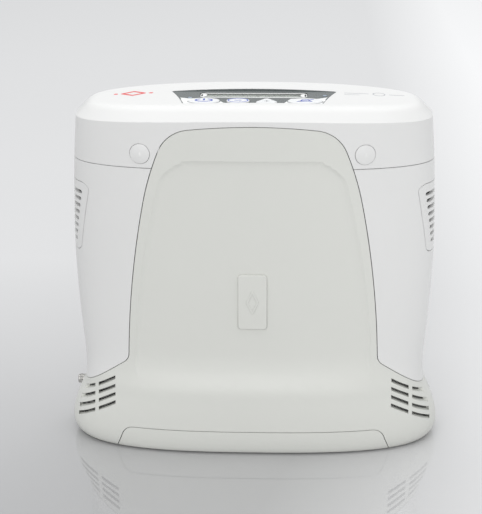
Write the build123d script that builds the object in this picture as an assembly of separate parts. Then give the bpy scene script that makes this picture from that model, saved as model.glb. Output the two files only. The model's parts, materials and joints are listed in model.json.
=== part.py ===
from build123d import *
import math
import os

os.makedirs("parts", exist_ok=True)

# Portable oxygen concentrator, in millimetres. X runs to the right as seen from the front,
# the front faces -Y, and Z is up from the surface that the rubber feet stand on.

# ---- driving dimensions ------------------------------------------------------------------
TOTAL_HEIGHT = 235.0
FOOT_HEIGHT = 1.0           # how far the rubber feet stand below the case
WALL = 2.5                  # case wall
SEAM = 0.4                  # gap between two case mouldings
HALF_SEAM = SEAM / 2
CROWN_RADIUS = 1724.0       # gentle end-to-end crown of the top
SHOULDER_LEG = 8.5          # bevel between the top and the walls, measured along each
SHOULDER_RADIUS = 10.0      # rounding where that bevel meets the top
DISH_DEPTH = 0.9            # hollow in the face of the tongue
DISH_EDGE = 5.0             # width of the soft step around it
DISH_TOP = 200.0
DISH_BOTTOM = 60.0
DISH_FADE = (46.0, 68.0)    # the hollow runs out between these heights
DISH_CLEAR = 0.2            # how far the cutter stays off the face around the hollow
DISH_GRID = 64              # steps each way in the cutter's face
OUTLINE_POINTS = 48         # points on each level outline
REACH = 70.0                # depth of a cutter that has to clear the case

BAND_HEIGHT = 195.3         # seam under the top cover
FASCIA_NEAR_EDGE = -27.4
FASCIA_HEIGHT = 234.0       # level of the control face, just below the top
KEY_RISE = 0.9              # how far the keys stand above it
FASCIA_DEPTH = 38.4
BUTTON_GAP = 0.3
RIM_WIDTH = 0.9             # upstand along the far edge and the sides of the control face
RIM_START = 13.0

EMBLEM_Z = 106.3
PLUG_X = 70.7
PLUG_Z = 204.7
PLUG_RADIUS = 6.4
PLUG_TURN = 10.7            # the wall is turned by this many degrees at the plugs

SLOT_PITCH = 5.55           # corner exhaust slots
SLOT_HEIGHT = 2.5
SLOT_ROWS = 4
SLOT_START = 91.6
SLOT_SPLIT = (103.6, 106.2) # the rib between the inner and outer slots
SLOT_END = 117.0
SLOT_LEAN = 0.62            # the slots fall towards the corners
INTAKE_PITCH = 4.7          # side intake slots
INTAKE_SLOT_HEIGHT = 2.4
INTAKE_SLOTS = 8
FILTER_BACK = 105.5         # inner face of the foam behind the intakes

PORT_Y = 14.0               # oxygen outlet and power inlet, behind the middle of the sides
PORT_Z = 27.0
NOZZLE_RADIUS = 3.1
NOZZLE_BORE = 1.6

BATTERY_HALF_WIDTH = 89.6
BATTERY_BACK = 26.0
CELL_RADIUS = 9.2
CELL_LENGTH = 65.0

CHASSIS_Z = 52.0
CHASSIS_SHEET = 2.0
SHELF_Z = 211.0
CRANK_X = -38.0
CRANK_Z = 92.0
STROKE = 5.0
CYLINDER_RADIUS = 17.0
STATOR_TEETH = 9
BED_RADIUS = 17.5
BED_X = (40.0, 79.0)
BED_BOTTOM = 60.0
BED_HEIGHT = 98.0

# The case is a loft through level sections. These rows drive it, from the flared base up
# through the waist to the shoulders: (height, half width, half depth, squareness).
STATIONS = [
    (1.0, 119.0, 45.8, 2.7),
    (5.0, 122.9, 47.7, 2.7),
    (14.0, 124.5, 48.5, 2.7),
    (27.0, 120.8, 48.0, 2.7),
    (38.0, 116.0, 47.2, 2.7),
    (43.5, 114.9, 46.75, 2.7),
    (47.0, 114.5, 45.95, 2.7),
    (52.0, 114.4, 44.3, 2.7),
    (58.0, 114.45, 42.95, 2.7),
    (68.0, 115.2, 41.9, 2.7),
    (93.0, 117.2, 41.3, 2.7),
    (131.0, 118.8, 41.3, 2.7),
    (173.0, 118.0, 42.2, 2.7),
    (200.0, 116.6, 42.9, 2.78),
    (226.0, 114.5, 43.8, 2.85),
    (240.0, 113.2, 44.3, 2.85),
]
LEVEL_STEP = 9.0            # greatest height between two sections of the loft


# ---- small helpers -----------------------------------------------------------------------
def save(part, node):
    """Write one sub-part."""
    export_step(part, f"parts/{node}.step")


def tube(outer, inner, height):
    """A plain tube standing on z = 0."""
    base = (Align.CENTER, Align.CENTER, Align.MIN)
    return Cylinder(outer, height, align=base) - Cylinder(inner, height, align=base)


def rod(radius, height):
    """A solid cylinder standing on z = 0."""
    return Cylinder(radius, height, align=(Align.CENTER, Align.CENTER, Align.MIN))


def block(x_range, y_range, z_range):
    """A box between three pairs of limits."""
    size = [high - low for low, high in (x_range, y_range, z_range)]
    middle = [(high + low) / 2 for low, high in (x_range, y_range, z_range)]
    return Pos(*middle) * Box(*size)


def rounded_block(x_range, y_range, z_range, radius):
    """A box with its upright edges rounded."""
    body = block(x_range, y_range, z_range)
    return fillet(body.edges().filter_by(Axis.Z), radius)


def along_x(part):
    """Turn a part that stands on z = 0 so that it points along +X."""
    return Rot(0, 90, 0) * part


def along_y(part):
    """Turn a part that stands on z = 0 so that it points along +Y."""
    return Rot(-90, 0, 0) * part


def both_sides(part):
    """The part and its mirror image across the middle of the width."""
    return part + mirror(part, about=Plane.YZ)


def front_and_back(part):
    """The part and its mirror image across the middle of the depth."""
    return part + mirror(part, about=Plane.XZ)


def front_prism(face, start=0.0, depth=REACH):
    """Push a front-view outline (drawn as x, z) from y = -start towards the front."""
    return extrude(Plane.XZ.offset(start) * face, depth, dir=(0, -1, 0))


# ---- the outer form ----------------------------------------------------------------------
def row_slope(row, column):
    """How fast one column of the driving rows changes with height at a row."""
    low = STATIONS[max(row - 1, 0)]
    high = STATIONS[min(row + 1, len(STATIONS) - 1)]
    return (high[column] - low[column]) / (high[0] - low[0])


def case_size(height):
    """Half width, half depth and squareness at any height, smoothly between the rows."""
    row = max(k for k in range(len(STATIONS) - 1) if STATIONS[k][0] <= height)
    below = STATIONS[row]
    above = STATIONS[row + 1]
    span = above[0] - below[0]
    t = (height - below[0]) / span
    rise = t * t * (3 - 2 * t)
    sizes = []
    for column in (1, 2, 3):
        lift = t * (1 - t) * span
        lift = lift * ((1 - t) * row_slope(row, column) - t * row_slope(row + 1, column))
        sizes.append(below[column] + rise * (above[column] - below[column]) + lift)
    return sizes


def level_heights():
    """The heights of the loft's sections: every row, and steps between distant rows."""
    heights = [STATIONS[0][0]]
    for below, above in zip(STATIONS, STATIONS[1:]):
        steps = math.ceil((above[0] - below[0]) / LEVEL_STEP)
        for k in range(1, steps + 1):
            heights.append(below[0] + (above[0] - below[0]) * k / steps)
    return heights


def front_depth(x, height):
    """How far the front surface stands forward of the middle, at a place on it."""
    half_width, half_depth, squareness = case_size(height)
    share = abs(x / half_width) ** squareness
    return half_depth * (1 - share) ** (1 / squareness)


def oval_points(half_width, half_depth, squareness, height):
    """Points around a squared-off oval, starting from the right."""
    points = []
    for k in range(OUTLINE_POINTS):
        turn = 2 * math.pi * k / OUTLINE_POINTS
        c = math.cos(turn)
        s = math.sin(turn)
        x = half_width * math.copysign(abs(c) ** (2 / squareness), c)
        y = half_depth * math.copysign(abs(s) ** (2 / squareness), s)
        points.append(Vector(x, y, height))
    return points


def shared_knots():
    """One spacing along the outline for every level, so that the loft stays smooth."""
    points = oval_points(*case_size(TOTAL_HEIGHT / 2), 0)
    points.append(points[0])
    knots = [0.0]
    for start, end in zip(points, points[1:]):
        knots.append(knots[-1] + (end - start).length)
    return [knot / knots[-1] for knot in knots]


KNOTS = shared_knots()


def level_section(height, size_height, inset):
    """One level outline, with the case's size at size_height, inset from its surface."""
    half_width, half_depth, squareness = case_size(size_height)
    points = oval_points(half_width - inset, half_depth - inset, squareness, height)
    return Face(Wire([Edge.make_spline(points, periodic=True, parameters=KNOTS)]))


def crown_under(top):
    """Everything under a surface crowned from end to end, with its middle at a height."""
    return Pos(0, 0, top - CROWN_RADIUS) * Rot(90, 0, 0) * Cylinder(CROWN_RADIUS, 2 * REACH)


def case_form(inset=0.0, bottom=None):
    """The solid bounded by the case surface, or by a surface inset from it."""
    heights = level_heights()
    sections = [level_section(height, height, inset) for height in heights]
    if bottom is not None:
        sections.insert(0, level_section(bottom, heights[0], inset))
    form = loft(sections)
    top = TOTAL_HEIGHT - inset
    form = (form & crown_under(top)).solids()[0]
    leg = SHOULDER_LEG - (2 - math.sqrt(2)) * inset
    form = form.chamfer(leg, None, [edge for edge in form.edges() if edge.center().Z > top - 10])
    upper_edge = [edge for edge in form.edges() if edge.center().Z > top - leg / 2]
    return form.fillet(SHOULDER_RADIUS - inset, upper_edge)


# ---- the hollow in the tongue --------------------------------------------------------------
def soft_step(value):
    """0 below 0, 1 above 1, and a smooth rise between."""
    t = min(max(value, 0.0), 1.0)
    return t * t * (3 - 2 * t)


def dish_half_width(height):
    """Half width of the hollow, which narrows upwards and turns in at its top corners."""
    share = max(height - DISH_BOTTOM, 0.0) / (DISH_TOP - DISH_BOTTOM)
    corner = max(height - (DISH_TOP - 14), 0.0) / 14
    return 77.0 - 5.0 * share - 17.5 * share ** 2 - 12.0 * corner ** 2


def dish_share(x, height):
    """1 where the tongue's face is fully hollowed, 0 where it isn't."""
    side = soft_step((dish_half_width(height) - abs(x)) / DISH_EDGE + 0.5)
    top = soft_step((DISH_TOP - height) / DISH_EDGE + 0.5)
    bottom = soft_step((height - DISH_FADE[0]) / (DISH_FADE[1] - DISH_FADE[0]))
    return side * top * bottom


def dish_solid(form):
    """What the hollow takes off the front of the case form."""
    low = DISH_FADE[0]
    high = DISH_TOP + 6
    rows = []
    for row in range(DISH_GRID + 1):
        height = low + (high - low) * row / DISH_GRID
        line = []
        for column in range(DISH_GRID + 1):
            x = 82.0 * (2 * column / DISH_GRID - 1)
            sink = (DISH_DEPTH + DISH_CLEAR) * dish_share(x, height) - DISH_CLEAR
            line.append(Vector(x, sink - front_depth(x, height), height))
        rows.append(line)
    face = Face.make_surface_from_array_of_points(rows, tol=0.03)
    taken = form & extrude(face, 12, dir=(0, -1, 0))
    return max(taken.solids(), key=lambda solid: solid.volume)


def tongue_zone(grow=0.0):
    """Front view of the region that the front (or rear) cover fills: the tall tongue and
    the flared base below it, with its edge moved out by grow."""
    crest = ThreePointArc((-40.4, 220.9), (0, 223.2), (40.4, 220.9))
    corner = TangentArc((40.4, 220.9), (58.9, 207.0), tangent=crest % 1)
    flank = TangentArc(corner @ 1, (69.5, 172.5), tangent=corner % 1)
    skirt = TangentArc(flank @ 1, (81.8, 67.0), tangent=flank % 1)
    knee = TangentArc(skirt @ 1, (85.2, 60.8), tangent=skirt % 1)
    slope = Line(knee @ 1, (108.0, 44.3))
    tail = TangentArc(slope @ 1, (124.0, 38.6), tangent=slope % 1)
    run_out = Line(tail @ 1, (140.0, 38.6))
    right = [corner, flank, skirt, knee, slope, tail, run_out]
    left = [mirror(edge, about=Plane.YZ) for edge in right]
    under = Polyline((140.0, 38.6), (140.0, -12.0), (-140.0, -12.0), (-140.0, 38.6))
    zone = make_face([crest, *right, *left, under])
    if grow:
        zone = offset(zone, amount=grow)
    return zone


def battery_zone(grow=0.0):
    """Front view of the low panel that drops out with the battery."""
    zone = Polygon((-93.9, -6), (93.9, -6), (85.0, 17), (-85.0, 17), align=None)
    zone = fillet(zone.vertices().sort_by(Axis.Y)[-2:], 8)
    if grow:
        zone = offset(zone, amount=grow)
    return zone


outer_form = case_form()
inner_form = case_form(WALL, bottom=-4.0)
lining_form = case_form(WALL + 0.3, bottom=-4.0)
plain_shell = outer_form - inner_form


# ---- openings in the covers --------------------------------------------------------------
def plug_frame(side):
    """Where a screw plug sits in the front wall, looking straight out of the wall."""
    turn = math.radians(PLUG_TURN)
    out = Vector(side * math.sin(turn), -math.cos(turn), 0)
    return Plane(origin=(side * PLUG_X, -38.9, PLUG_Z), z_dir=out, x_dir=(0, 0, 1))


def exhaust_slots(start, end, behind):
    """Cutters for one column of slots at the front right corner of the base, between two
    places across the width, reaching back to y = -behind."""
    cutters = []
    for row in range(SLOT_ROWS):
        lean = SLOT_LEAN - 0.02 * row
        top = 49.2 - row * SLOT_PITCH
        reach = end + 0.6 * row * (end > 110)
        near = top - lean * (start - SLOT_START)
        far = top - lean * (reach - SLOT_START)
        half = SLOT_HEIGHT / 2
        corners = ((start, near - half), (reach, far - half), (reach, far + half))
        outline = Polygon(*corners, (start, near + half), align=None)
        cutters.append(front_prism(outline, start=behind))
    return cutters


def intake_outline(grow=0.0):
    """Side view (y, z) of the intake grille: a trapezoid with rounded corners."""
    outline = Polygon((-26.0, 181.0), (26.0, 181.0), (19.5, 134.0), (-19.5, 134.0), align=None)
    outline = fillet(outline.vertices(), 4.5)
    if grow:
        outline = offset(outline, amount=grow)
    return outline


def side_prism(face, depth=40.0):
    """Push a side-view outline (drawn as y, z) out of the right side, from x = 95."""
    return extrude(Plane.YZ.offset(95.0) * face, depth, dir=(1, 0, 0))


inner_slots = exhaust_slots(SLOT_START, SLOT_SPLIT[0], 20.0)
outer_slots = exhaust_slots(SLOT_SPLIT[1], SLOT_END, 17.0)
port_hole = Pos(90, PORT_Y, PORT_Z) * along_x(rod(9.2, 50))
inlet_hole = Pos(90, PORT_Y, PORT_Z) * along_x(rod(5.7, 50))


# ---- case ----------------------------------------------------------------------------------
cover_blank = plain_shell & front_prism(tongue_zone(-HALF_SEAM), start=HALF_SEAM)
cover_blank = cover_blank.cut(*[both_sides(cutter) for cutter in inner_slots])

front_cover = cover_blank - dish_solid(outer_form)
front_cover = front_cover.cut(*[both_sides(cutter) for cutter in outer_slots])
front_cover = front_cover - front_prism(battery_zone(HALF_SEAM), start=20.0)
emblem_pocket = Pos(0, -41.1, EMBLEM_Z) * Box(19.4, 1.6, 38.1)
emblem_pocket = fillet(emblem_pocket.edges().filter_by(Axis.Y), 2.6)
front_cover = front_cover - emblem_pocket

rear_cover = mirror(cover_blank, about=Plane.XZ)
rear_cover = rear_cover - inlet_hole - mirror(port_hole, about=Plane.YZ)
release_hole = Pos(0, 45, 26) * Box(30.6, 20, 11.6)
release_hole = fillet(release_hole.edges().filter_by(Axis.Y), 5.5)
rear_cover = rear_cover - release_hole

tongue_gap = front_prism(tongue_zone(HALF_SEAM), start=-REACH, depth=2 * REACH)
upper_shell = plain_shell - tongue_gap
top_cover = upper_shell & block((-140, 140), (-80, 80), (BAND_HEIGHT + HALF_SEAM, 260))
side_right = upper_shell & block((0, 140), (-80, 80), (0, BAND_HEIGHT - HALF_SEAM))
grille_hole = side_prism(intake_outline(HALF_SEAM))
side_panel = side_right - grille_hole

# Screw plugs sit in round holes in the top cover, two at the front and two at the back.
plug_holes = []
plugs = []
screws = []
for side in (-1, 1):
    frame = plug_frame(side)
    hole = frame.offset(-8) * rod(PLUG_RADIUS + HALF_SEAM, 16)
    disc = frame.offset(-WALL) * rod(PLUG_RADIUS, WALL - 0.2)
    dome_radius = 26.0
    dome = frame.offset(0.9 - dome_radius) * Sphere(dome_radius)
    cap = dome & (frame.offset(-WALL) * rod(PLUG_RADIUS, 8))
    plug_holes += front_and_back(hole).solids()
    plugs += front_and_back(cap).solids()
    shank = Pos(side * PLUG_X, -34.0, PLUG_Z) * along_y(rod(1.5, 12))
    head = Pos(side * PLUG_X, -35.5, PLUG_Z) * along_y(rod(3.2, 2.0) - rod(1.3, 1.2))
    screws += front_and_back(shank + head).solids()
top_cover = top_cover.cut(*plug_holes)


# ---- control face --------------------------------------------------------------------------
fascia_plane = Plane(origin=(0, FASCIA_NEAR_EDGE, FASCIA_HEIGHT))


def fascia_outline(grow=0.0):
    """The mask-shaped control face, drawn with its near edge on y = 0."""
    near_corner = (44.0 + grow, -grow)
    far_corner = (53.5 + 1.3 * grow, 35.2 + 0.7 * grow)
    near = Line((-near_corner[0], -grow), near_corner)
    right = ThreePointArc(near_corner, (48.0 + grow, 18.0), far_corner)
    far = ThreePointArc(far_corner, (0, FASCIA_DEPTH + 0.6 + grow), (-far_corner[0], far_corner[1]))
    left = mirror(right, about=Plane.YZ)
    face = make_face([near, right, far, left])
    return fillet(face.vertices(), 1.6 + grow)


def button_outline(name, grow=0.0):
    """Top view of one key."""
    if name == "power":
        return Pos(-31.0, 7.0) * Ellipse(10.0 + grow, 6.4 + grow)
    if name == "mute":
        return Pos(33.0, 7.0) * Ellipse(11.0 + grow, 6.4 + grow)
    if name == "minus":
        return Pos(-9.4, 7.0) * Ellipse(7.3 + grow, 6.2 + grow)
    face = Polygon((0.2, 1.0), (17.2, 1.0), (8.7, 14.4), align=None)
    face = fillet(face.vertices(), 2.2)
    return offset(face, amount=grow) if grow else face


BUTTONS = ("power", "minus", "plus", "mute")

LAMP_SPOTS = ((-40.5, 17.0), (45.5, 24.0))
lens_outline = Pos(0, 24.8) * RectangleRounded(69.0, 13.6, 3.0)
lcd_outline = Pos(0, 24.8) * RectangleRounded(74.0, 18.0, 1.0)

# The top cover carries a well for the control face, with a floor that has cut-outs.
well = extrude(fascia_plane.offset(-3.6) * fascia_outline(2.0), 9) & outer_form
well_space = extrude(fascia_plane.offset(-2.1) * fascia_outline(HALF_SEAM), 14)
top_cover = top_cover + well - well_space
floor_cuts = [offset(lcd_outline, amount=0.3)]
floor_cuts += [button_outline(name, 0.5) for name in BUTTONS]
floor_cuts += [Pos(*spot) * Circle(1.6) for spot in LAMP_SPOTS]
for cut in floor_cuts:
    top_cover = top_cover - extrude(fascia_plane.offset(-5.0) * cut, 4)

fascia_face = fascia_outline() - offset(lens_outline, amount=0.1)
for name in BUTTONS:
    fascia_face = fascia_face - button_outline(name, BUTTON_GAP)
for spot in LAMP_SPOTS:
    fascia_face = fascia_face - Pos(*spot) * Circle(1.4)
fascia = extrude(fascia_plane.offset(-2.1) * fascia_face, 2.1)
rim = extrude(fascia_plane * (fascia_outline() - fascia_outline(-RIM_WIDTH)), 2)
rim = rim - fascia_plane * block((-80, 80), (-10, RIM_START), (-1, 10))
fascia = fascia + (rim & crown_under(TOTAL_HEIGHT - 0.15))
lens = extrude(fascia_plane.offset(-2.0) * lens_outline, 1.8)
lcd = extrude(fascia_plane.offset(-5.5) * lcd_outline, 3.3)
lamps = [fascia_plane.offset(-3.5) * (Pos(*spot) * rod(1.4, 3.7)) for spot in LAMP_SPOTS]
buttons = {}
for name in BUTTONS:
    cap = extrude(fascia_plane.offset(-2.6) * button_outline(name), 2.6 + KEY_RISE)
    cap = fillet(cap.faces().sort_by(Axis.Z)[-1].edges(), 0.5)
    stem = fascia_plane.offset(-4.6) * (Pos(*button_outline(name).center()) * rod(1.6, 2.2))
    buttons[name] = cap + stem

board = extrude(fascia_plane.offset(-8.4) * (Pos(0, 18.5) * RectangleRounded(108, 33, 2)), 1.6)
domes = []
for name in BUTTONS:
    middle = button_outline(name).center()
    seat = fascia_plane.offset(-6.8) * Pos(middle.X, middle.Y)
    base = extrude(seat * Rectangle(6, 6), 0.7)
    dome = seat * (rod(2.2, 1.1) - rod(1.6, 0.6))
    domes += (base + dome).solids()
buzzer = fascia_plane.offset(-13.4) * (Pos(30, 20) * (rod(6, 5) - Pos(0, 0, -0.1) * rod(1, 1.5)))


# ---- side intakes, exhaust mesh and emblem -------------------------------------------------
grille = side_right & side_prism(intake_outline(-HALF_SEAM))
intake_slots = []
for row in range(INTAKE_SLOTS):
    z = 157.5 + (row - (INTAKE_SLOTS - 1) / 2) * INTAKE_PITCH
    half = 15.5 + 6.0 * (z - 140) / 35.0
    profile = Pos(0, z) * SlotOverall(2 * half, INTAKE_SLOT_HEIGHT)
    intake_slots.append(side_prism(profile))
grille = grille.cut(*intake_slots)
filter_block = block((FILTER_BACK, 130), (-19.0, 19.0), (136.0, 179.0))
filter_block = fillet(filter_block.edges().filter_by(Axis.X), 4)
filter_pad = filter_block & lining_form

mesh_core = case_form(WALL + 1.1, bottom=-4.0)
mesh_lining = lining_form - mesh_core
mesh_sheet = mesh_lining & block((88, 120), (-50, -15.5), (19, 52))
mesh_sheet = mesh_sheet + (mesh_lining & block((88, 120), (24, 50), (19, 52)))
exhaust_mesh = both_sides(mesh_sheet)

emblem = Pos(0, -41.1, EMBLEM_Z) * Box(18.8, 1.4, 37.5)
emblem = fillet(emblem.edges().filter_by(Axis.Y), 2.4)
emblem = chamfer(emblem.faces().sort_by(Axis.Y)[0].edges(), 0.4)
lozenge = Polygon((-4.2, 0), (0, -9), (4.2, 0), (0, 9), align=None)
lozenge = fillet(lozenge.vertices(), 0.8)
relief = front_prism(lozenge - offset(lozenge, amount=-1.3), start=41.7, depth=0.35)
emblem = emblem + Pos(0, 0, EMBLEM_Z) * relief


# ---- base tray, feet and battery -----------------------------------------------------------
tray = lining_form & block((-140, 140), (-80, 80), (FOOT_HEIGHT, FOOT_HEIGHT + WALL))
bay = rounded_block((-90.0, 90.0), (-90.0, BATTERY_BACK + 0.4), (-5, 10), 3)
tray = tray - bay
catch_post = block((-9, 9), (28.5, 30.5), (FOOT_HEIGHT, 33.0))
tray = tray + catch_post
feet = []
for x in (-101.5, 101.5):
    for y in (-15.0, 15.0):
        pocket = Pos(x, y, 0) * rod(5.1, FOOT_HEIGHT + 1.2)
        tray = tray - pocket
        foot = chamfer(rod(5.0, FOOT_HEIGHT + 1.2).edges().sort_by(Axis.Z)[0], 0.4)
        feet.append(Pos(x, y, 0) * foot)

battery_wall = plain_shell & front_prism(battery_zone(-HALF_SEAM), start=20.0)
limits = ((-BATTERY_HALF_WIDTH, BATTERY_HALF_WIDTH), (-80, BATTERY_BACK))
battery_floor = rounded_block(*limits, (FOOT_HEIGHT, FOOT_HEIGHT + WALL), 3) & outer_form
battery_cover = battery_wall + battery_floor
grip = rounded_block((-30, 30), (4, 20), (0, FOOT_HEIGHT + 1.3), 7)
battery_cover = battery_cover - grip
for x in (-18, -6, 6, 18):
    battery_cover = battery_cover + block((x - 1, x + 1), (5, 19), (1.4, 2.6))
case_floor = FOOT_HEIGHT + WALL
case_box = rounded_block((-83, 83), (-29, 22), (case_floor, 46), 4)
case_hollow = rounded_block((-81, 81), (-27, 20), (case_floor, 44), 3)
battery_case = case_box - case_hollow
cells = []
for x in (-CELL_LENGTH - 1, 1):
    for y in (-13.5, 6.5):
        for z in (14.5, 33.7):
            can = along_x(rod(CELL_RADIUS, CELL_LENGTH))
            cells.append(Pos(x, y, z) * can)
blades = [block((70, 71.6), (-20, 14), (8, 40))]
socket = block((40, 66), (-16, 12), (46.6, CHASSIS_Z))
for x in (44, 48.5, 53, 57.5, 62):
    blades.append(block((x - 0.4, x + 0.4), (-12, 8), (46, 50)))
    socket = socket - block((x - 0.7, x + 0.7), (-13, 9), (46, 50.6))

release = block((-15, 15), (42.4, 48.8), (20.5, 31.5))
release = fillet(release.edges().filter_by(Axis.Y), 5.2)
release = fillet(release.faces().sort_by(Axis.Y)[-1].edges(), 0.9)
release = release + block((-17, 17), (42.4, 44.4), (18.5, 33.5))
for x in (-13.5, 11.5):
    release = release + block((x, x + 2), (25.2, 42.4), (23.5, 28.5))
spring_path = Helix(pitch=2.3, height=11.1, radius=3.0)
spring = sweep(Plane(spring_path @ 0, z_dir=spring_path % 0) * Circle(0.35), path=spring_path)
spring = Pos(0, 30.9, 26) * along_y(spring)


# ---- outlet and power inlet ----------------------------------------------------------------
port_axis = Pos(0, PORT_Y, PORT_Z) * Rot(0, -90, 0)
cup = (port_axis * Pos(0, 0, 108.5) * rod(9.0, 20)) & outer_form
cup = cup - port_axis * Pos(0, 0, 109.5) * rod(8.0, 20)
cup = cup - port_axis * Pos(0, 0, 100) * rod(NOZZLE_RADIUS, 20)
nozzle = Pos(0, 0, 100) * rod(NOZZLE_RADIUS, 23.6)
nozzle = chamfer(nozzle.edges().sort_by(Axis.Z)[-1], 0.5)
hexagon = extrude(RegularPolygon(5.6, 6), 2.4)
nozzle = nozzle + Pos(0, 0, 109.5) * hexagon
nozzle = nozzle - Pos(0, 0, 99) * rod(NOZZLE_BORE, 30)
nozzle = port_axis * nozzle
o_ring = port_axis * Pos(0, 0, 107.3) * tube(4.8, NOZZLE_RADIUS, 1.2)
lock_nut = extrude(RegularPolygon(6.0, 6), 2.6) - rod(NOZZLE_RADIUS, 3)
lock_nut = port_axis * Pos(0, 0, 104.7) * lock_nut
outlet_filter = port_axis * Pos(0, 0, 96.0) * (rod(7.5, 4) + Pos(0, 0, 4) * rod(4.5, 3.0))
outlet_filter = outlet_filter - port_axis * Pos(0, 0, 99.9) * rod(NOZZLE_RADIUS, 4)
dose_valve = block((-96, -86), (4, 24), (17, 37)) + Pos(-91, 14, 37) * rod(6.5, 12)

inlet_axis = Pos(0, PORT_Y, PORT_Z) * Rot(0, 90, 0)
inlet_body = (inlet_axis * Pos(0, 0, 102) * rod(5.5, 22)) & outer_form
inlet_body = inlet_body - inlet_axis * Pos(0, 0, 109.0) * rod(2.9, 20)
inlet_pin = inlet_axis * Pos(0, 0, 109.0) * rod(1.0, 8.5)
inlet_pin = fillet(inlet_pin.edges().sort_by(Axis.X)[-1], 0.6)


# ---- chassis --------------------------------------------------------------------------------
chassis = rounded_block((-103, 103), (-24, 24), (CHASSIS_Z, CHASSIS_Z + CHASSIS_SHEET), 10)
upright = block((101, 103), (-14, 14), (CHASSIS_Z, SHELF_Z))
upright = upright - block((90, 110), (-11, 11), (136, 180))
shelf = rounded_block((-103, 103), (-22, 22), (SHELF_Z - CHASSIS_SHEET, SHELF_Z), 8)
shelf = shelf - block((-45, 45), (-12, 12), (200, 220))
boss = block((64.2, 77.2), (-33.2, -18), (198.5, SHELF_Z))
boss = boss - Pos(PLUG_X, -34, PLUG_Z) * along_y(rod(1.5, 14))
chassis = chassis + both_sides(upright) + shelf + both_sides(front_and_back(boss))


# ---- compressor ------------------------------------------------------------------------------
def crank_frame(y=0.0):
    """Along the crankshaft, from a place on its axis towards the back."""
    return Pos(CRANK_X, y, CRANK_Z) * Rot(-90, 0, 0)


THROW = STROKE / 2
RING_BORE = 7.0 + THROW + STROKE / 2 + 0.4
crankcase = block((-22, 22), (-21, 21), (-28, 24)) - block((-19, 19), (-18, 18), (-24, 21))
crankcase = crankcase + block((-37, 37), (-15, 15), (-31, -28))
for turn in (0, 180):
    barrel = Rot(0, 0, turn) * Pos(19, 0, 0) * along_x(rod(20, 25))
    bore = Rot(0, 0, turn) * Pos(18, 0, 0) * along_x(rod(CYLINDER_RADIUS, 27))
    crankcase = crankcase + (barrel - block((-19, 19), (-30, 30), (-30, 30))) - bore
for y in (-18, 13):
    crankcase = crankcase + Pos(0, y, 0) * along_y(tube(10.5, 8, 5))
crankcase = crankcase - Pos(0, -14, 0) * along_y(rod(4.5, 60))
crankcase = Pos(CRANK_X, 0, CRANK_Z) * crankcase

crank = crank_frame(-18) * rod(3.0, 53.0)
for y in (-9.5, 2.5):
    crank = crank + Pos(CRANK_X, y, CRANK_Z + THROW) * along_y(rod(7.0, 7.0))
bearings = [crank_frame(y) * tube(8.0, 3.03, 5.0) for y in (-18, 13)]
rotor_bell = crank_frame(23.5) * (rod(20, 12) - Pos(0, 0, -1) * rod(17.5, 11) - rod(3.0, 20))
stator = crank_frame(21.0) * (tube(7.0, 4.5, 2.5) + Pos(0, 0, 2.5) * tube(10.0, 4.5, 9.0))
for k in range(STATOR_TEETH):
    tooth = Rot(0, 0, k * 360 / STATOR_TEETH) * block((8.5, 16.5), (-2.5, 2.5), (4, 10))
    stator = stator + crank_frame(21.0) * tooth
piston = Pos(-33, 0, 0) * along_x(rod(CYLINDER_RADIUS - 0.05, 5))
piston = piston + block((-29, -11), (-9, -3), (-4, 4))
piston = piston + Pos(0, -9, 0) * along_y(rod(RING_BORE + 2.6, 6))
piston = piston - Pos(0, -10, 0) * along_y(rod(RING_BORE, 8))
piston_left = Pos(CRANK_X, 0, CRANK_Z) * piston
piston_right = Pos(CRANK_X, 0, CRANK_Z) * Rot(0, 0, 180) * piston
heads = []
for turn in (0, 180):
    head = along_x(rod(20, 10) - Pos(0, 0, -1) * rod(15, 4) - Pos(0, 0, 7) * tube(17, 15.5, 5))
    spout = Pos(5, 0, 19) * rod(3, 8) - Pos(5, 0, 17) * rod(1.5, 12)
    head = Pos(44, 0, 0) * (head + spout)
    heads.append(Pos(CRANK_X, 0, CRANK_Z) * Rot(0, 0, turn) * head)
mounts = []
floor_top = CHASSIS_Z + CHASSIS_SHEET
for x in (-31, 31):
    for y in (-10, 10):
        grommet = Pos(CRANK_X + x, y, floor_top) * tube(5, 1.6, CRANK_Z - 31 - floor_top)
        mounts.append(grommet)


# ---- sieve beds, valves and tank -------------------------------------------------------------
beds = []
caps = []
for x in BED_X:
    beds.append(Pos(x, 0, BED_BOTTOM + 2) * rod(BED_RADIUS - 1.2, BED_HEIGHT))
    for z in (BED_BOTTOM, BED_BOTTOM + BED_HEIGHT - 2):
        cap = Pos(x, 0, z) * rod(BED_RADIUS, 6.0)
        lower = z == BED_BOTTOM
        seat = Pos(x, 0, z + (2 if lower else -1)) * rod(BED_RADIUS - 1.2, 5.0)
        caps.append(cap - seat)
manifold_floor = BED_BOTTOM + BED_HEIGHT + 4
manifold = block((22, 98), (-13, 13), (manifold_floor, manifold_floor + 14))
for x in (26.5, 93.5):
    for y in (-9, 9):
        manifold = manifold - Pos(x, y, manifold_floor - 1) * rod(1.6, 16)
valves = []
for x in (35, 52, 69, 86):
    coil = Pos(x, 0, manifold_floor + 14) * (rod(7, 20) + Pos(0, 0, 20) * rod(3, 3))
    valves.append(coil)
tank = Pos(-66, -10, 141) * along_x(rod(15, 78))
tank = fillet(tank.edges(), 4)
tank = tank + Pos(12, -10, 141) * along_x(rod(3, 6))


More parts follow.
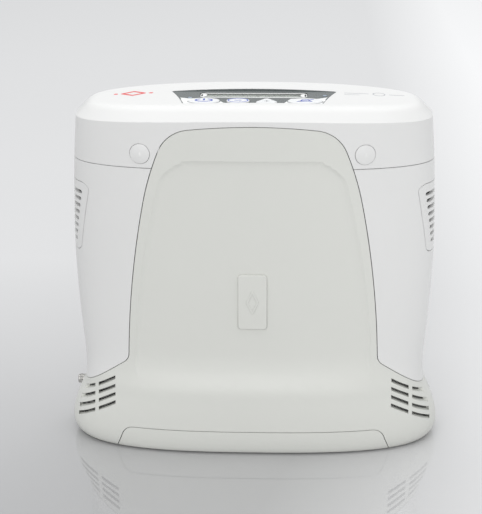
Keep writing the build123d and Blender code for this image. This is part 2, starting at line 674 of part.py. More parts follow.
# ---- cooling ----------------------------------------------------------------------------------
FAN_X = -98.0
FAN_Z = 158.0
fan_axis = Pos(FAN_X, 0, FAN_Z) * Rot(0, 90, 0)
fan_frame = extrude(RectangleRounded(50, 50, 4), 14) - Pos(0, 0, -1) * rod(23, 16)
fan_hub = rod(9.0, 2.0)
for k in range(4):
    arm = Rot(0, 0, 45 + 90 * k) * Pos(16.5, 0, 1.0) * Box(17, 2.4, 2.0)
    fan_hub = fan_hub + arm
fan_frame = fan_frame + fan_hub
for x in (-20, 20):
    for y in (-20, 20):
        fan_frame = fan_frame - Pos(x, y, -1) * rod(1.8, 16)
fan_frame = fan_axis * fan_frame
fan_rotor = Pos(0, 0, 2.4) * rod(9.5, 10.6)
for k in range(7):
    blade = Rot(0, 0, k * 360 / 7) * Pos(15.5, 0, 7.7) * Rot(38, 0, 0) * Box(13.5, 11, 1.0)
    fan_rotor = fan_rotor + blade
fan_rotor = fan_axis * fan_rotor
coil_points = []
for run in range(5):
    ends = (-18, 18) if run % 2 == 0 else (18, -18)
    coil_points += [(y, 141 + 8.5 * run) for y in ends]
coil_line = FilletPolyline(*[(-76.5, y, z) for y, z in coil_points], radius=4.2)
coil_start = Plane(coil_line @ 0, z_dir=coil_line % 0)
cooling_coil = sweep(coil_start * (Circle(2.0) - Circle(1.3)), path=coil_line)


# ---- electronics -------------------------------------------------------------------------------
main_board = block((-58, 58), (33, 34.6), (128, 200))
chips = [
    block((-44, -28), (31.6, 33), (176, 192)),
    block((-20, 0), (30.5, 33), (150, 166)),
    block((12, 30), (31.0, 33), (178, 190)),
    block((38, 54), (28.5, 33), (132, 142)),
    block((-54, -40), (28.0, 33), (134, 150)),
]
for x in (14, 24, 34):
    chips.append(Pos(x, 33, 160) * Rot(90, 0, 0) * rod(4, 7.5))
posts = []
for x in (-53, 53):
    for z in (153, 195):
        posts.append(Pos(x, 34.6, z) * along_y(rod(2.5, 1.7)))


# ---- write every sub-part -----------------------------------------------------------------------
PARTS = {
    "top_cover": top_cover,
    "front_cover": front_cover,
    "rear_cover": rear_cover,
    "side_panel_right": side_panel,
    "side_panel_left": mirror(side_panel, about=Plane.YZ),
    "intake_grille_right": grille,
    "intake_grille_left": mirror(grille, about=Plane.YZ),
    "intake_filters": both_sides(filter_pad),
    "exhaust_mesh": exhaust_mesh,
    "screw_plugs": Compound(plugs),
    "cover_screws": Compound(screws),
    "emblem_plate": emblem,
    "base_tray": tray,
    "rubber_feet": Compound(feet),
    "control_fascia": fascia,
    "display_lens": lens,
    "lcd_module": lcd,
    "button_power": buttons["power"],
    "button_minus": buttons["minus"],
    "button_plus": buttons["plus"],
    "button_mute": buttons["mute"],
    "status_lamps": Compound(lamps),
    "display_board": board,
    "dome_switches": Compound(domes),
    "buzzer": buzzer,
    "outlet_nozzle": nozzle,
    "outlet_cup": cup,
    "outlet_o_ring": o_ring,
    "outlet_nut": lock_nut,
    "outlet_filter": outlet_filter,
    "dose_valve": dose_valve,
    "power_inlet": inlet_body,
    "power_inlet_pin": inlet_pin,
    "chassis": chassis,
    "battery_socket": socket,
    "compressor_crankcase": crankcase,
    "compressor_mounts": Compound(mounts),
    "cylinder_heads": Compound(heads),
    "crankshaft": crank,
    "crank_bearings": Compound(bearings),
    "motor_rotor": rotor_bell,
    "motor_stator": stator,
    "piston_left": piston_left,
    "piston_right": piston_right,
    "sieve_beds": Compound(beds),
    "sieve_bed_caps": Compound(caps),
    "valve_manifold": manifold,
    "solenoid_valves": Compound(valves),
    "product_tank": tank,
    "fan_frame": fan_frame,
    "fan_rotor": fan_rotor,
    "cooling_coil": cooling_coil,
    "main_board": main_board,
    "board_components": Compound(chips),
    "battery_cover": battery_cover,
    "battery_case": battery_case,
    "battery_cells": Compound(cells),
    "battery_terminals": Compound([solid for piece in blades for solid in piece.solids()]),
    "battery_release": release,
    "release_spring": spring,
}
for node, part in PARTS.items():
    save(part, node)
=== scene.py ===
"""Looks for a portable oxygen concentrator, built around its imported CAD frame."""

import json
import math

import bmesh
import bpy
from mathutils import Matrix, Vector, geometry
from mathutils.bvhtree import BVHTree


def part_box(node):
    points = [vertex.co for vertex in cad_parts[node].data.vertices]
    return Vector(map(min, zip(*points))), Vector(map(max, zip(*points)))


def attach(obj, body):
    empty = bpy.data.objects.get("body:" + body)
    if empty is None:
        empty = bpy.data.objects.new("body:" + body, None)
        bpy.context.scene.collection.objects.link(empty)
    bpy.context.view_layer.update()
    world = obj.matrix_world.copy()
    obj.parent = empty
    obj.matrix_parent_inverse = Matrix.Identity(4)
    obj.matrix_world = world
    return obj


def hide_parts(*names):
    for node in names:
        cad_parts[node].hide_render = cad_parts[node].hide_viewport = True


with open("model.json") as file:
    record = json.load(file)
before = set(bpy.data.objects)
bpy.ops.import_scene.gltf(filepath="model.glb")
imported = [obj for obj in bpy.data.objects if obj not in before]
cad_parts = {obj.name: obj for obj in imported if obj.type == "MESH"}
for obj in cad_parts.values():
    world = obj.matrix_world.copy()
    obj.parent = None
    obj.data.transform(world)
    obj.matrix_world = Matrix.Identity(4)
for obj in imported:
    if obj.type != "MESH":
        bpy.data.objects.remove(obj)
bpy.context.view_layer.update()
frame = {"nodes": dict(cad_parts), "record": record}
NODES = frame["nodes"]
MM = 0.001

# Sizes of the printed marks, in millimetres, as are all places in this file that MM multiplies.
INK_LIFT = 0.05               # how far ink stands above its surface, and reaches below it
STROKE_STEP = 0.35            # distance between points along a stroke
BLUNT_END = 0.15              # share of a stroke's width that is left at its very end
SURROUND_STEPS = 72           # points round a key
SURROUND_GAP = (0.4, 0.35)    # clearance of the white print round a key, sideways and in depth
SURROUND_LEAST = 0.02         # width of that print where it pinches out
SURROUND_SHOULDER = 0.88      # where its far edge bends down to the side, as a share of x
SURROUND_RAY = 60.0           # longer than the way from a key to the edge of the print

# The outlet's barbs: places along and out from the tube for one rib, in millimetres.
TUBE_RADIUS = 3.1
BARB_COUNT = 3
BARB_PITCH = 2.7
BARB_START = 0.9
BARB_RIB = ((0.0, 0.0), (0.3, 0.08), (1.9, 0.42), (2.1, 0.36), (2.2, 0.0))
BARB_DEPTH = 0.25             # how far the sleeve reaches into the tube
BARB_SEGMENTS = 64

FOAM_VOXEL = 1.1
FOAM_CELL = 2.6
FOAM_PIT = 0.8

ABOVE_ALL = 0.3               # metres; rays that look for a surface start here
DOWN = Vector((0, 0, -1))

CAMERA_PLACE = (0.0275, -0.9363, 0.452)
FOCAL_LENGTH = 110.97
SENSOR_WIDTH = 36.0
VIEW_YAW = math.radians(2.22)
VIEW_DOWN = math.radians(19.35)
VIEW_ROLL = math.radians(-0.28)
FLOOR_REACH = 20.0
WORLD_STRENGTH = 0.69


# ---- node helpers --------------------------------------------------------------------------
class Recipe:
    """One procedural material around a Principled shader, in the piece's own coordinates."""

    def __init__(self, name, **constants):
        self.material = bpy.data.materials.new(name)
        self.material.use_nodes = True
        self.tree = self.material.node_tree
        self.shader = self.tree.nodes["Principled BSDF"]
        self.place = self.add("ShaderNodeTexCoord").outputs["Object"]
        for key, value in constants.items():
            self.shader.inputs[key.replace("_", " ")].default_value = value

    def add(self, kind, sockets=None, **settings):
        """Adds a node; a socket's value is a link or a constant."""
        node = self.tree.nodes.new(kind)
        for key, value in settings.items():
            setattr(node, key, value)
        for key, value in (sockets or {}).items():
            if isinstance(value, bpy.types.NodeSocket):
                self.tree.links.new(value, node.inputs[key])
            else:
                node.inputs[key].default_value = value
        return node

    def drive(self, key, socket):
        """Links something to an input of the shader."""
        self.tree.links.new(socket, self.shader.inputs[key])

    def noise(self, scale, detail=3.0, rough=0.5, stretch=None):
        """Noise about 0.5, in waves per metre, drawn out along the axes by stretch."""
        place = self.place
        if stretch:
            place = self.add("ShaderNodeMapping", {"Vector": place, "Scale": stretch}).outputs[0]
        sockets = {"Vector": place, "Scale": scale, "Detail": detail, "Roughness": rough}
        return self.add("ShaderNodeTexNoise", sockets).outputs["Fac"]

    def spread(self, socket, low, high, start=0.25, end=0.75):
        """Maps start..end to low..high, held at both ends."""
        sockets = {
            "Value": socket, "From Min": start, "From Max": end, "To Min": low, "To Max": high,
        }
        return self.add("ShaderNodeMapRange", sockets).outputs["Result"]

    def math(self, operation, a, b=0.0):
        """The result of one Math node."""
        return self.add("ShaderNodeMath", {0: a, 1: b}, operation=operation).outputs[0]

    def axes(self):
        """The three coordinates as separate sockets."""
        split = self.add("ShaderNodeSeparateXYZ", {0: self.place})
        return split.outputs["X"], split.outputs["Y"], split.outputs["Z"]

    def mix(self, share, first, second):
        """A colour between two colours or sockets."""
        node = self.add("ShaderNodeMix", data_type="RGBA")
        for index, value in ((0, share), (6, first), (7, second)):
            if isinstance(value, bpy.types.NodeSocket):
                self.tree.links.new(value, node.inputs[index])
            else:
                node.inputs[index].default_value = value if index == 0 else (*value, 1.0)
        return node.outputs[2]

    def bump(self, height, strength, distance, normal=None):
        """A normal with fine relief, on top of another normal if there is one."""
        sockets = {"Height": height, "Strength": strength, "Distance": distance}
        if normal:
            sockets["Normal"] = normal
        return self.add("ShaderNodeBump", sockets).outputs["Normal"]


def shifted(colour, factor):
    """The same colour lighter or darker."""
    return tuple(min(channel * factor, 1.0) for channel in colour)


# ---- materials -----------------------------------------------------------------------------
def moulded(name, colour, gloss=0.36, grain=0.10, cloud=0.02, edge=0.5):
    """Injection-moulded plastic: fine spark-eroded grain, faint flow clouding, uneven gloss,
    and edges rounded by the tool."""
    recipe = Recipe(name)
    cloudy = recipe.noise(14.0, 4.0, 0.55)
    fine = recipe.noise(2600.0, 2.0, 0.6)
    speck = recipe.noise(420.0, 2.0, 0.5)
    colour_out = recipe.mix(cloudy, shifted(colour, 1 - cloud), shifted(colour, 1 + cloud))
    recipe.drive("Base Color", colour_out)
    recipe.drive("Roughness", recipe.spread(speck, gloss - 0.05, gloss + 0.06))
    rounded = recipe.add("ShaderNodeBevel", {"Radius": edge * MM}, samples=4).outputs[0]
    recipe.drive("Normal", recipe.bump(fine, grain, 0.02 * MM, rounded))
    return recipe.material


def metal(name, colour, gloss, stretch=None, scale=300.0):
    """Worked metal: streaks or grain from how it was made, and faint dulling."""
    recipe = Recipe(name, Metallic=1.0)
    streak = recipe.noise(scale, 3.0, 0.6, stretch=stretch)
    dull = recipe.noise(35.0, 3.0, 0.6)
    recipe.drive("Base Color", recipe.mix(dull, shifted(colour, 0.88), shifted(colour, 1.06)))
    recipe.drive("Roughness", recipe.spread(streak, gloss - 0.08, gloss + 0.1))
    recipe.drive("Normal", recipe.bump(streak, 0.25, 0.03 * MM))
    return recipe.material


def rubbery(name, colour, gloss=0.72, pore=900.0, depth=0.06):
    """Matt rubber with a dusty bloom."""
    recipe = Recipe(name)
    bloom = recipe.noise(60.0, 4.0, 0.6)
    pores = recipe.noise(pore, 3.0, 0.7)
    recipe.drive("Base Color", recipe.mix(bloom, shifted(colour, 0.8), shifted(colour, 1.5)))
    recipe.drive("Roughness", recipe.spread(pores, gloss - 0.08, gloss + 0.08))
    recipe.drive("Normal", recipe.bump(pores, 0.5, depth * MM))
    return recipe.material


def open_foam():
    """Open-cell filter foam, near-black: paler strands round cells darkened further as painted
    shade in the pores.
    """
    recipe = Recipe("open_foam", Roughness=0.95, Specular_IOR_Level=0.15)
    sockets = {"Vector": recipe.place, "Scale": 900.0}
    cells = recipe.add("ShaderNodeTexVoronoi", sockets, feature="DISTANCE_TO_EDGE").outputs[0]
    strand = recipe.spread(cells, 1.0, 0.0, 0.02, 0.16)
    # painted shade: the cell middles at 0.004 stand for the shade inside the pores; the strands
    # carry the foam's own near-black
    recipe.drive("Base Color", recipe.mix(strand, (0.004, 0.004, 0.004), (0.028, 0.028, 0.03)))
    recipe.drive("Normal", recipe.bump(strand, 0.9, 0.4 * MM))
    return recipe.material


def woven_mesh():
    """Dark diagonal mesh behind the exhaust slots, with painted shade near-black between its
    wires in place of the openings.
    """
    recipe = Recipe("woven_mesh", Roughness=0.55)
    x, y, z = recipe.axes()
    along = recipe.math("ADD", x, y)
    bands = []
    for sign in ("ADD", "SUBTRACT"):
        phase = recipe.math("MULTIPLY", recipe.math(sign, z, along), MESH_WAVES)
        bands.append(recipe.math("SINE", phase))
    crossing = recipe.math("MAXIMUM", bands[0], bands[1])
    wire = recipe.spread(crossing, 0.0, 1.0, 0.2, 0.75)
    # painted shade: the near-black between the wires stands for the shade seen through the
    # openings; the wires keep the mesh's own dark grey
    recipe.drive("Base Color", recipe.mix(wire, (0.004, 0.004, 0.004), (0.20, 0.20, 0.195)))
    recipe.drive("Normal", recipe.bump(wire, 0.8, 0.25 * MM))
    return recipe.material


def control_grey():
    """Semi-gloss dark control face with a fine texture and slight sheen."""
    recipe = Recipe("control_grey", Coat_Weight=0.3, Coat_Roughness=0.12)
    cloudy = recipe.noise(30.0, 3.0, 0.5)
    fine = recipe.noise(1800.0, 2.0, 0.5)
    recipe.drive("Base Color", recipe.mix(cloudy, (0.060, 0.074, 0.074), (0.078, 0.094, 0.094)))
    recipe.drive("Roughness", recipe.spread(fine, 0.24, 0.36))
    rounded = recipe.add("ShaderNodeBevel", {"Radius": 0.3 * MM}, samples=4).outputs[0]
    recipe.drive("Normal", recipe.bump(fine, 0.08, 0.02 * MM, rounded))
    return recipe.material


def clear_lens():
    """Clear acrylic window with a few faint handling marks."""
    recipe = Recipe("clear_lens", IOR=1.2, Transmission_Weight=1.0)
    marks = recipe.noise(160.0, 4.0, 0.7, stretch=(0.15, 1.0, 1.0))
    smear = recipe.noise(25.0, 2.0, 0.5)
    recipe.drive("Base Color", recipe.mix(smear, (0.93, 0.95, 0.94), (0.98, 0.99, 0.985)))
    recipe.drive("Roughness", recipe.spread(marks, 0.0, 0.05, 0.55, 0.8))
    return recipe.material


def display_glass():
    """Switched-off reflective display: pale green-grey with a faint cell grid."""
    recipe = Recipe("display_glass", Coat_Weight=0.5, Coat_Roughness=0.05)
    x, y = recipe.axes()[:2]
    grid = []
    for axis in (x, y):
        grid.append(recipe.math("SINE", recipe.math("MULTIPLY", axis, DISPLAY_WAVES)))
    cells = recipe.spread(recipe.math("MAXIMUM", grid[0], grid[1]), 0.0, 1.0, 0.9, 1.0)
    tint = recipe.noise(40.0, 2.0, 0.5)
    pale = recipe.mix(tint, (0.46, 0.50, 0.44), (0.54, 0.57, 0.51))
    recipe.drive("Base Color", recipe.mix(cells, pale, (0.38, 0.41, 0.37)))
    recipe.drive("Roughness", recipe.spread(tint, 0.18, 0.30))
    return recipe.material


def light_guide():
    """Frosted, slightly blue light guide."""
    recipe = Recipe("light_guide", IOR=1.5, Transmission_Weight=0.55)
    frost = recipe.noise(700.0, 3.0, 0.6)
    recipe.drive("Base Color", recipe.mix(frost, (0.52, 0.66, 0.86), (0.70, 0.80, 0.93)))
    recipe.drive("Roughness", recipe.spread(frost, 0.25, 0.5))
    recipe.drive("Normal", recipe.bump(frost, 0.3, 0.05 * MM))
    return recipe.material


def circuit_laminate():
    """Green solder mask over copper tracks and pads."""
    recipe = Recipe("circuit_laminate", Coat_Weight=0.3, Coat_Roughness=0.2)
    sockets = {"Vector": recipe.place, "Scale": 160.0, "Randomness": 0.35}
    tracks = recipe.add("ShaderNodeTexVoronoi", sockets, feature="DISTANCE_TO_EDGE").outputs[0]
    track = recipe.spread(tracks, 1.0, 0.0, 0.05, 0.08)
    sockets = {"Vector": recipe.place, "Scale": 210.0, "Randomness": 0.2}
    dots = recipe.add("ShaderNodeTexVoronoi", sockets, feature="F1").outputs[0]
    pad = recipe.spread(dots, 1.0, 0.0, 0.16, 0.2)
    mask = recipe.mix(track, (0.008, 0.09, 0.035), (0.02, 0.19, 0.08))
    recipe.drive("Base Color", recipe.mix(pad, mask, (0.55, 0.50, 0.32)))
    recipe.drive("Roughness", recipe.spread(recipe.noise(300.0), 0.25, 0.4))
    recipe.drive("Normal", recipe.bump(track, 0.4, 0.05 * MM))
    return recipe.material


def shrink_wrap():
    """Blue heat-shrunk sleeve with fine wrinkles."""
    recipe = Recipe("shrink_wrap", Coat_Weight=0.5, Coat_Roughness=0.15)
    wrinkle = recipe.noise(120.0, 4.0, 0.6, stretch=(3.0, 1.0, 1.0))
    tint = recipe.noise(20.0)
    recipe.drive("Base Color", recipe.mix(tint, (0.012, 0.075, 0.22), (0.02, 0.11, 0.30)))
    recipe.drive("Roughness", recipe.spread(wrinkle, 0.25, 0.42))
    recipe.drive("Normal", recipe.bump(wrinkle, 0.5, 0.15 * MM))
    return recipe.material


def ink(name, colour):
    """Pad-printed ink, a little uneven."""
    recipe = Recipe(name)
    patchy = recipe.noise(500.0, 3.0, 0.6)
    recipe.drive("Base Color", recipe.mix(patchy, shifted(colour, 0.85), shifted(colour, 1.1)))
    recipe.drive("Roughness", recipe.spread(patchy, 0.4, 0.55))
    return recipe.material


MESH_WAVES = 2 * math.pi / (2.0 * MM)
DISPLAY_WAVES = 2 * math.pi / (2.4 * MM)

FINISH = {
    "shell_white": moulded("shell_white", (0.765, 0.765, 0.757)),
    "shell_grey": moulded("shell_grey", (0.70, 0.706, 0.668)),
    "key_white": moulded("key_white", (0.80, 0.81, 0.82), gloss=0.3, grain=0.05),
    "release_grey": moulded("release_grey", (0.30, 0.31, 0.32)),
    "fascia_grey": control_grey(),
    "lens_clear": clear_lens(),
    "lcd_pale": display_glass(),
    "lamp": light_guide(),
    "filter_foam": open_foam(),
    "dark_mesh": woven_mesh(),
    "rubber": rubbery("rubber", (0.022, 0.022, 0.022)),
    "black_plastic": moulded("black_plastic", (0.018, 0.018, 0.02), gloss=0.45, cloud=0.12),
    "nozzle_metal": metal("nozzle_metal", (0.50, 0.49, 0.47), 0.24, (40.0, 1.0, 1.0)),
    "steel": metal("zinc_steel", (0.56, 0.56, 0.58), 0.38),
    "brass": metal("turned_brass", (0.70, 0.52, 0.24), 0.28, (40.0, 1.0, 1.0)),
    "cast_aluminium": metal("cast_aluminium", (0.62, 0.63, 0.64), 0.45, scale=900.0),
    "copper_wound": metal("copper", (0.78, 0.38, 0.22), 0.3, (1.0, 1.0, 20.0)),
    "circuit_board": circuit_laminate(),
    "cell_wrap": shrink_wrap(),
}
BLUE_INK = ink("blue_ink", (0.012, 0.055, 0.42))
RED_INK = ink("red_ink", (0.72, 0.035, 0.035))
GREY_INK = ink("grey_ink", (0.42, 0.43, 0.45))
WHITE_INK = ink("white_ink", (0.86, 0.87, 0.86))

for entry in frame["record"]["subparts"]:
    materials = NODES[entry["node"]].data.materials
    materials.clear()
    materials.append(FINISH[entry["material_slot"]])


# ---- printed marks -------------------------------------------------------------------------
def surface_of(node_name):
    """Something to drop points on to, from a CAD node's mesh."""
    mesh = NODES[node_name].data
    vertices = [v.co for v in mesh.vertices]
    return BVHTree.FromPolygons(vertices, [p.vertices for p in mesh.polygons])


def resampled(points, step, closed):
    """The same path with points about a step apart."""
    path = [Vector(p) for p in points]
    if closed:
        path.append(path[0])
    made = []
    for start, end in zip(path, path[1:]):
        count = max(1, round((end - start).length / step))
        made += [start.lerp(end, k / count) for k in range(count)]
    return made if closed else made + [path[-1]]


def stroke_sides(points, width, closed):
    """Left and right edges of a stroke, with round ends where it is open."""
    path = resampled(points, STROKE_STEP, closed)
    count = len(path)
    lengths = [0.0]
    for start, end in zip(path, path[1:]):
        lengths.append(lengths[-1] + (end - start).length)
    radius = width / 2
    left = []
    right = []
    for k, point in enumerate(path):
        before = path[(k - 1) % count] if closed or k else point
        after = path[(k + 1) % count] if closed or k < count - 1 else point
        along = (after - before).normalized()
        side = Vector((-along.y, along.x))
        half = radius
        if not closed:
            inset = min(lengths[k], lengths[-1] - lengths[k], radius)
            half = math.sqrt(max(radius ** 2 - (radius - inset) ** 2, (BLUNT_END * radius) ** 2))
        left.append(point + side * half)
        right.append(point - side * half)
    return left, right


def printed(name, strokes, on, body, material):
    """A thin raised print: strokes of (points in mm, width in mm, closed) seen from above."""
    tree = surface_of(on)
    lift = Vector((0, 0, INK_LIFT * MM))
    shell = bmesh.new()
    for points, width, closed in strokes:
        rails = []
        for rail in stroke_sides(points, width, closed):
            tops = []
            for p in rail:
                above = Vector((p.x * MM, p.y * MM, ABOVE_ALL))
                tops.append(tree.ray_cast(above, DOWN)[0])
            rails.append([shell.verts.new(p + lift) for p in tops])
            rails.append([shell.verts.new(p - lift) for p in tops])
        ring = (rails[0], rails[2], rails[3], rails[1])
        count = len(rails[0])
        for k in range(count if closed else count - 1):
            n = (k + 1) % count
            for a, b in zip(ring, ring[1:] + ring[:1]):
                shell.faces.new((a[k], a[n], b[n], b[k]))
        if not closed:
            for k in (0, -1):
                shell.faces.new([rail[k] for rail in ring])
    bmesh.ops.recalc_face_normals(shell, faces=shell.faces)
    return finished_piece(name, shell, material, body)


def finished_piece(name, shell, material, body):
    """Turns a bmesh into a piece that rides on a body."""
    mesh = bpy.data.meshes.new(name)
    shell.to_mesh(mesh)
    shell.free()
    piece = bpy.data.objects.new(name, mesh)
    piece.data.materials.append(material)
    bpy.context.scene.collection.objects.link(piece)
    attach(piece, body)
    return piece


def oval(centre, rx, ry, start=0, end=360, steps=40):
    """Points along an oval, angles in degrees from +X."""
    points = []
    for k in range(steps + 1):
        turn = math.radians(start + (end - start) * k / steps)
        points.append((centre[0] + rx * math.cos(turn), centre[1] + ry * math.sin(turn)))
    return points[:-1] if end - start == 360 else points


def key_middle(node_name):
    """Where the middle of a key is, seen from above, in millimetres."""
    low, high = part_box(node_name)
    middle = (low + high) / 2 / MM
    return middle.x, middle.y


x, y = key_middle("button_power")
arc = oval((x, y), 5.2, 3.3, 115, 425)
printed("power_symbol", [(arc, 1.1, False), ([(x, y - 0.4), (x, y + 4.2)], 1.1, False)],
        "button_power", "power_key", BLUE_INK)
x, y = key_middle("button_minus")
minus = [(oval((x, y), 6.2, 5.1), 0.7, True), ([(x - 2.3, y), (x + 2.3, y)], 0.9, False)]
printed("minus_symbol", minus, "button_minus", "minus_key", BLUE_INK)
x, y = key_middle("button_plus")
plus = [([(x - 1.9, y - 1.6), (x + 1.9, y - 1.6)], 0.8, False),
        ([(x, y - 3.5), (x, y + 0.3)], 0.8, False)]
printed("plus_symbol", plus, "button_plus", "plus_key", GREY_INK)
x, y = key_middle("button_mute")
bell = [(x - 4.2, y - 2.4), (x - 2.6, y - 0.6), (x - 1.8, y + 2.2), (x + 1.8, y + 2.2),
        (x + 2.6, y - 0.6), (x + 4.2, y - 2.4)]
mute = [(bell, 0.8, True), ([(x - 5.4, y - 3.4), (x + 5.4, y + 3.4)], 0.9, False)]
printed("mute_symbol", mute, "button_mute", "mute_key", BLUE_INK)



def key_surround(name, key, side_far, side_near, line_far, line_near):
    """White print that runs from a key out to a near corner of the control face.

    Its outer edge goes along the side of the face, along the near edge and back up a
    slanting line. Its inner edge goes round the key. The places are in millimetres.
    """
    low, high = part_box(key)
    hub = ((low + high) / 2 / MM).to_2d()
    half = (high - low) / 2 / MM
    side_top = (side_far[0] * SURROUND_SHOULDER, line_far[1])
    outline = [Vector(p) for p in (side_far, side_near, line_near, line_far, side_top)]
    above = Vector((line_near[0] * MM, line_near[1] * MM, ABOVE_ALL))
    level = surface_of("control_fascia").ray_cast(above, DOWN)[0].z
    shell = bmesh.new()
    columns = []
    for k in range(SURROUND_STEPS):
        turn = 2 * math.pi * k / SURROUND_STEPS
        inner = hub + Vector((math.cos(turn) * (half.x + SURROUND_GAP[0]),
                              math.sin(turn) * (half.y + SURROUND_GAP[1])))
        distance = (inner - hub).length
        direction = (inner - hub) / distance
        ray_end = hub + direction * SURROUND_RAY
        outer = inner + direction * SURROUND_LEAST
        for start, end in zip(outline, outline[1:] + outline[:1]):
            cross = geometry.intersect_line_line_2d(hub, ray_end, start, end)
            if cross and (cross - hub).length > distance + SURROUND_LEAST:
                outer = cross
        column = []
        for place in (inner, outer):
            for lift in (INK_LIFT, -INK_LIFT):
                column.append(shell.verts.new((place.x * MM, place.y * MM, level + lift * MM)))
        columns.append(column)
    for k, (a, b, c, d) in enumerate(columns):
        e, f, g, h = columns[(k + 1) % SURROUND_STEPS]
        for face in ((a, c, g, e), (c, d, h, g), (d, b, f, h), (b, a, e, f)):
            shell.faces.new(face)
    bmesh.ops.recalc_face_normals(shell, faces=shell.faces)
    finished_piece(name, shell, WHITE_INK, "housing")


key_surround("power_surround", "button_power", (-47.9, -7.4), (-43.2, -27.25),
             (-24.5, -12.2), (-16.6, -27.25))
key_surround("mute_surround", "button_mute", (47.9, -7.4), (43.2, -27.25),
             (24.0, -12.2), (18.6, -27.25))

lozenge = [(-85.5, 4.2), (-78.2, 9.6), (-70.9, 4.2), (-78.2, -1.2)]
red_mark = [(lozenge, 2.0, True), ([(-91.0, 4.2), (-88.2, 4.2)], 2.4, False),
            ([(-68.2, 4.2), (-65.4, 4.2)], 2.4, False)]
printed("red_mark", red_mark, "top_cover", "housing", RED_INK)
grey_mark = [([(58, 4.6), (74, 4.6)], 0.8, False), (oval((80.5, 4.6), 3.8, 4.0), 0.7, True),
             ([(87, 4.6), (97, 4.6)], 0.8, False), ([(58, 0.6), (68, 0.6)], 0.6, False)]
printed("grey_mark", grey_mark, "top_cover", "housing", GREY_INK)


def rounded_rectangle(centre, half_width, half_depth, corner):
    """Points around a rectangle with round corners."""
    points = []
    for quarter in range(4):
        sx = 1 if quarter in (0, 3) else -1
        sy = 1 if quarter < 2 else -1
        middle = (centre[0] + sx * (half_width - corner), centre[1] + sy * (half_depth - corner))
        points += oval(middle, corner, corner, 90 * quarter, 90 * quarter + 90, 6)
    return points


low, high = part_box("display_lens")
middle = (low + high) / 2 / MM
half = (high - low) / 2 / MM
frame_line = rounded_rectangle((middle.x, middle.y), half.x - 1.1, half.y - 1.1, 3.4)
ends = []
for side in (-1, 1):
    x = middle.x + side * (half.x - 2.6)
    ends.append(([(x, middle.y - half.y + 3.4), (x, middle.y + half.y - 3.4)], 3.6, False))
printed("display_frame", [(frame_line, 1.4, True)] + ends, "display_lens", "housing", WHITE_INK)


# ---- filter foam ---------------------------------------------------------------------------
def foam_pads():
    """The two intake filters as open-cell foam, pitted all over."""
    rough = bpy.data.objects.new("filter_foam_rough", NODES["intake_filters"].data.copy())
    bpy.context.scene.collection.objects.link(rough)
    remesh = rough.modifiers.new("remesh", "REMESH")
    remesh.mode = "VOXEL"
    remesh.voxel_size = FOAM_VOXEL * MM
    cells = bpy.data.textures.new("foam_cells", "VORONOI")
    cells.noise_scale = FOAM_CELL * MM
    pits = rough.modifiers.new("pits", "DISPLACE")
    pits.texture = cells
    pits.mid_level = 1.0
    pits.strength = FOAM_PIT * MM
    graph = bpy.context.evaluated_depsgraph_get()
    mesh = bpy.data.meshes.new_from_object(rough.evaluated_get(graph))
    bpy.data.objects.remove(rough)
    mesh.shade_smooth()
    mesh.materials.clear()
    mesh.materials.append(FINISH["filter_foam"])
    pads = bpy.data.objects.new("filter_foam_pads", mesh)
    bpy.context.scene.collection.objects.link(pads)
    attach(pads, "housing")
    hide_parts("intake_filters")


foam_pads()


# ---- hose barbs on the outlet --------------------------------------------------------------
def hose_barbs():
    """Sloping ribs round the outlet nozzle, which hold a hose."""
    low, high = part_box("outlet_nozzle")
    centre_y = (low.y + high.y) / 2
    centre_z = (low.z + high.z) / 2
    tube = TUBE_RADIUS * MM
    profile = []
    for k in range(BARB_COUNT):
        start = low.x + (BARB_START + BARB_PITCH * k) * MM
        profile += [(start + along * MM, tube + out * MM) for along, out in BARB_RIB]
    profile += [(profile[k][0], tube - BARB_DEPTH * MM) for k in (-1, 0)]
    shell = bmesh.new()
    rings = []
    for k in range(BARB_SEGMENTS):
        turn = 2 * math.pi * k / BARB_SEGMENTS
        ring = []
        for x, radius in profile:
            place = (x, centre_y + radius * math.cos(turn), centre_z + radius * math.sin(turn))
            ring.append(shell.verts.new(place))
        rings.append(ring)
    for k, ring in enumerate(rings):
        beside = rings[(k + 1) % BARB_SEGMENTS]
        for n in range(len(profile)):
            m = (n + 1) % len(profile)
            shell.faces.new((ring[n], ring[m], beside[m], beside[n]))
    bmesh.ops.recalc_face_normals(shell, faces=shell.faces)
    barbs = finished_piece("hose_barbs", shell, FINISH["nozzle_metal"], "housing")


hose_barbs()


# ---- camera, floor and light ---------------------------------------------------------------
right = Vector((math.cos(VIEW_YAW), math.sin(VIEW_YAW), 0))
forward = Vector((-math.cos(VIEW_DOWN) * math.sin(VIEW_YAW),
                  math.cos(VIEW_DOWN) * math.cos(VIEW_YAW), -math.sin(VIEW_DOWN)))
up = right.cross(forward)
rolled_right = right * math.cos(VIEW_ROLL) + up * math.sin(VIEW_ROLL)
rolled_up = up * math.cos(VIEW_ROLL) - right * math.sin(VIEW_ROLL)
lens = bpy.data.cameras.new("camera")
lens.lens = FOCAL_LENGTH
lens.sensor_width = SENSOR_WIDTH
lens.sensor_fit = "HORIZONTAL"
camera = bpy.data.objects.new("camera", lens)
bpy.context.scene.collection.objects.link(camera)
turn = Matrix((rolled_right, rolled_up, -forward)).transposed().to_4x4()
camera.matrix_world = Matrix.Translation(Vector(CAMERA_PLACE)) @ turn
bpy.context.scene.camera = camera


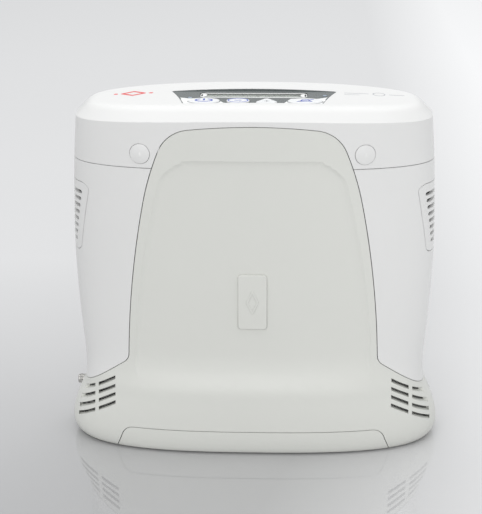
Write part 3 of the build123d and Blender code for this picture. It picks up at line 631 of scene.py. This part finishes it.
def stage_material():
    """Pale glossy sheet with light painted into its colour: darker in front on the left as
    painted shade, lighter behind and on the right as painted light.
    """
    recipe = Recipe("studio_floor", IOR=2.3)
    tone = recipe.noise(3.0, 2.0, 0.4)
    x, y = recipe.axes()[:2]
    behind = recipe.spread(y, 0.0, 0.52, -0.14, 0.34)
    beside = recipe.spread(x, 0.0, 1.0, 0.0, 0.28)
    lit = recipe.math("MAXIMUM", behind, beside)
    # painted light: the base colour runs from painted shade (0.41) in front on the left to
    # painted light (0.90) behind and on the right
    recipe.drive("Base Color", recipe.mix(lit, (0.41, 0.41, 0.415), (0.90, 0.90, 0.905)))
    recipe.drive("Roughness", recipe.spread(tone, 0.012, 0.02))
    return recipe.material


def make_floor():
    """A wide level disc, so that no edge of it shows from any side."""
    shell = bmesh.new()
    bmesh.ops.create_circle(shell, cap_ends=True, segments=96, radius=FLOOR_REACH)
    mesh = bpy.data.meshes.new("studio_floor")
    shell.to_mesh(mesh)
    shell.free()
    floor = bpy.data.objects.new("studio_floor", mesh)
    floor.data.materials.append(stage_material())
    bpy.context.scene.collection.objects.link(floor)


make_floor()


def soft_light(name, place, target, size, power):
    """A rectangular lamp that faces a target."""
    data = bpy.data.lights.new(name, "AREA")
    data.shape = "RECTANGLE"
    data.size, data.size_y = size
    data.energy = power
    lamp = bpy.data.objects.new(name, data)
    lamp.location = place
    aim = Vector(target) - Vector(place)
    lamp.rotation_euler = aim.to_track_quat("-Z", "Y").to_euler()
    bpy.context.scene.collection.objects.link(lamp)
    return lamp


soft_light("top_box", (0.0, 0.1, 1.7), (0, 0, 0.1), (1.8, 1.4), 10.5)
soft_light("front_box", (-0.3, -2.4, 1.3), (0, 0, 0.12), (2.4, 1.8), 28.0)
wash = soft_light("back_wash", (0.5, 2.0, 2.0), (0.4, 2.4, 0), (3.0, 2.0), 29.0)
wash.visible_glossy = False
world = bpy.data.worlds.new("studio")
world.use_nodes = True
world.node_tree.nodes["Background"].inputs["Color"].default_value = (0.93, 0.94, 0.95, 1)
world.node_tree.nodes["Background"].inputs["Strength"].default_value = WORLD_STRENGTH
bpy.context.scene.world = world
bpy.context.scene.view_settings.view_transform = "Standard"
